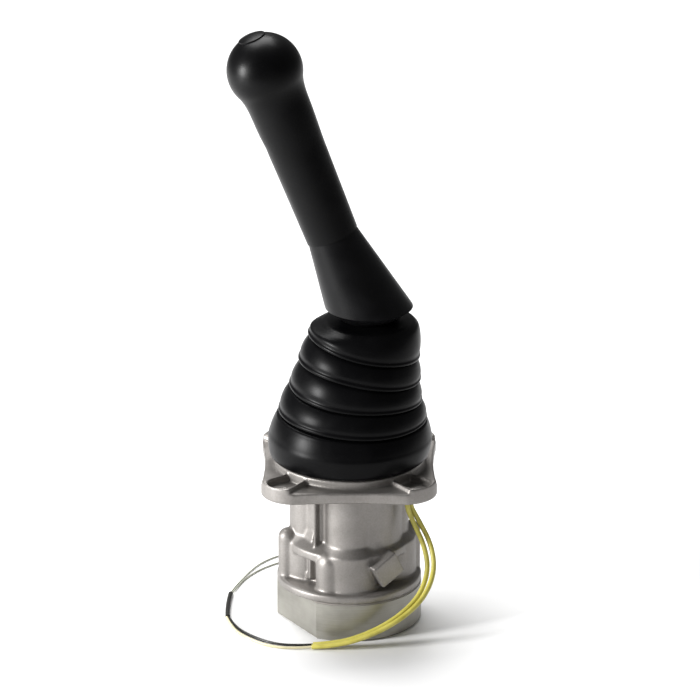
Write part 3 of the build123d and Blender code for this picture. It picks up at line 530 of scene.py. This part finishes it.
def fold_profile():
    """Outline of the boot's outside, from the casing's ring up to the collar, as (radius, height)."""
    outline = list(FOOT)
    lows = (RING_TOP + FIRST_FOLD_RISE, *CREASES)
    highs = (*CREASES, BOOT_TOP - TOP_FOLD_DROP)
    for fold, (radius, low, high) in enumerate(zip(FOLD_RADII, lows, highs)):
        if fold:
            outline += [(radius + out, low + up) for out, up in FOLD_LIP]
        outline += [(radius - FOLD_TAPER * taper, low + (high - low) * rise) for taper, rise in FOLD_FLANK]
        if fold + 1 < len(FOLD_RADII):
            outline.append((FOLD_RADII[fold + 1] - CREASE_DEPTH, high + CREASE_RISE))
    return [*outline, *SHOULDER]


def between(a, b, c, d, t):
    """The Catmull-Rom value a share t of the way from b to c."""
    return 0.5 * (2 * b + (c - a) * t + (2 * a - 5 * b + 4 * c - d) * t**2 + (3 * b - a - 3 * c + d) * t**3)


def rounded(points):
    """A Catmull-Rom curve through the points."""
    ends = [points[0], *points, points[-1]]
    curve = []
    for four in zip(ends, ends[1:], ends[2:], ends[3:]):
        for step in range(CURVE_STEPS):
            curve.append(tuple(between(*values, step / CURVE_STEPS) for values in zip(*four)))
    return [*curve, points[-1]]


def boot_point(radius, z, turn):
    """A point of the boot, with a slight unevenness round each fold."""
    shift, lean = boot_frame(z)
    swing = sum(size * sin(waves * turn + rate * z) for size, waves, rate in SWINGS)
    x, y = radius * cos(turn), radius * sin(turn)
    above_foot = smooth_step((z - RING_TOP - SWING_FOOT) / SWING_FOOT_LENGTH)
    loose = above_foot * smooth_step((COLLAR_Z - z) / SWING_TOP_LENGTH)
    return Vector((shift + x * cos(lean), y, z - x * sin(lean) + swing * loose)) * MM


def lathe(name, outline, body_a, body_b, start_z, end_z):
    """A closed skin round the boot's axis through the outline."""
    mesh = bpy.data.meshes.new(name)
    bm = bmesh.new()
    rings = []
    for radius, z in outline:
        rings.append([bm.verts.new(boot_point(radius, z, 2 * pi * k / SEGMENTS)) for k in range(SEGMENTS)])
    for low, high in zip(rings, [*rings[1:], rings[0]]):
        for k in range(SEGMENTS):
            after = (k + 1) % SEGMENTS
            bm.faces.new((low[k], low[after], high[after], high[k]))
    bm.normal_update()
    bm.to_mesh(mesh)
    bm.free()
    mesh.shade_smooth()
    obj = new_piece(name, mesh, "boot")
    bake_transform(obj)
    return obj


def with_inside(outline):
    """The outline closed by a plain inner wall."""
    bottom, top = outline[0][1], outline[-1][1]
    inside = []
    for step in range(INSIDE_STEPS + 1):
        z = top + (bottom - top) * step / INSIDE_STEPS
        near = min(radius for radius, height in outline if abs(height - z) < INSIDE_REACH)
        inside.append((near - BOOT_WALL, z))
    return [*outline, *inside]


# The boot is two pieces, as it crosses both axes of the joint. They meet in the crease over this fold.
SPLIT_FOLD = 1
SPLIT_RADIUS = FOLD_RADII[SPLIT_FOLD + 1] - CREASE_DEPTH
SPLIT_Z = CREASES[SPLIT_FOLD]
LOWER_BEND = (RING_TOP + 1.5, 133.0)
UPPER_BEND = (151.0, 187.0)

outline = rounded(fold_profile())
from_split = [abs(radius - SPLIT_RADIUS) + abs(z - SPLIT_Z) for radius, z in outline]
cut = from_split.index(min(from_split))
lathe("boot_lower", with_inside(outline[: cut + 1]), "valve", "cross", *LOWER_BEND)
lathe("boot_upper", with_inside(outline[cut:]), "cross", "lever", *UPPER_BEND)


# ---- Springs: each gets a mesh of its own ----
def squeeze(spring, joint):
    """Gives the spring a mesh of its own, and finds its joint's axis, turned upwards."""
    obj = nodes[spring]
    axis = Vector(joints[joint]["axis"])
    if axis.z < 0:
        axis.negate()
    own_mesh(obj)


for place in ("front", "back", "left", "right"):
    squeeze(f"return_spring_{place}", f"rod_slide_{place}")
    squeeze(f"metering_spring_{place}", f"rod_slide_{place}")
squeeze("button_spring", "horn_press")

# ---- Floor ----
FLOOR_HALF = 6.0
FLOOR_DROP = 0.02
FLOOR_COLOUR = (0.88, 0.88, 0.88, 1)

floor_mesh = bpy.data.meshes.new("floor")
corners = [(x * FLOOR_HALF, y * FLOOR_HALF, 0) for x, y in ((-1, -1), (1, -1), (1, 1), (-1, 1))]
floor_mesh.from_pydata(corners, [], [(0, 1, 2, 3)])
floor = bpy.data.objects.new("floor", floor_mesh)
floor.location.z = cad_low.z - FLOOR_DROP * MM
scene.collection.objects.link(floor)
floor_material = Nodes("floor")
floor_material.set(Roughness=0.9, Specular_IOR_Level=0.1, Base_Color=FLOOR_COLOUR)
floor_mesh.materials.append(floor_material.material)

# ---- Light: an even white room, a key light from the left and a large light above ----
ROOM_STRENGTH = 0.17

world = bpy.data.worlds.new("studio")
scene.world = world
world.use_nodes = True
room = world.node_tree.nodes["Background"]
room.inputs["Color"].default_value = (*WHITE, 1)
room.inputs["Strength"].default_value = ROOM_STRENGTH


def softbox(name, place, target, width, height, power):
    """A rectangular area light, with its sizes in metres and its power in watts."""
    data = bpy.data.lights.new(name, "AREA")
    data.shape = "RECTANGLE"
    data.size = width
    data.size_y = height
    data.energy = power
    obj = bpy.data.objects.new(name, data)
    scene.collection.objects.link(obj)
    obj.location = place
    obj.rotation_euler = (Vector(target) - Vector(place)).to_track_quat("-Z", "Y").to_euler()


softbox("key", place=(-1.25, -0.45, 0.42), target=(0, 0, 0.18), width=0.30, height=0.45, power=32)
softbox("top", place=(-0.3, 0.9, 2.0), target=(0, 0, 0), width=1.6, height=1.2, power=62)
scene.view_settings.view_transform = "Standard"
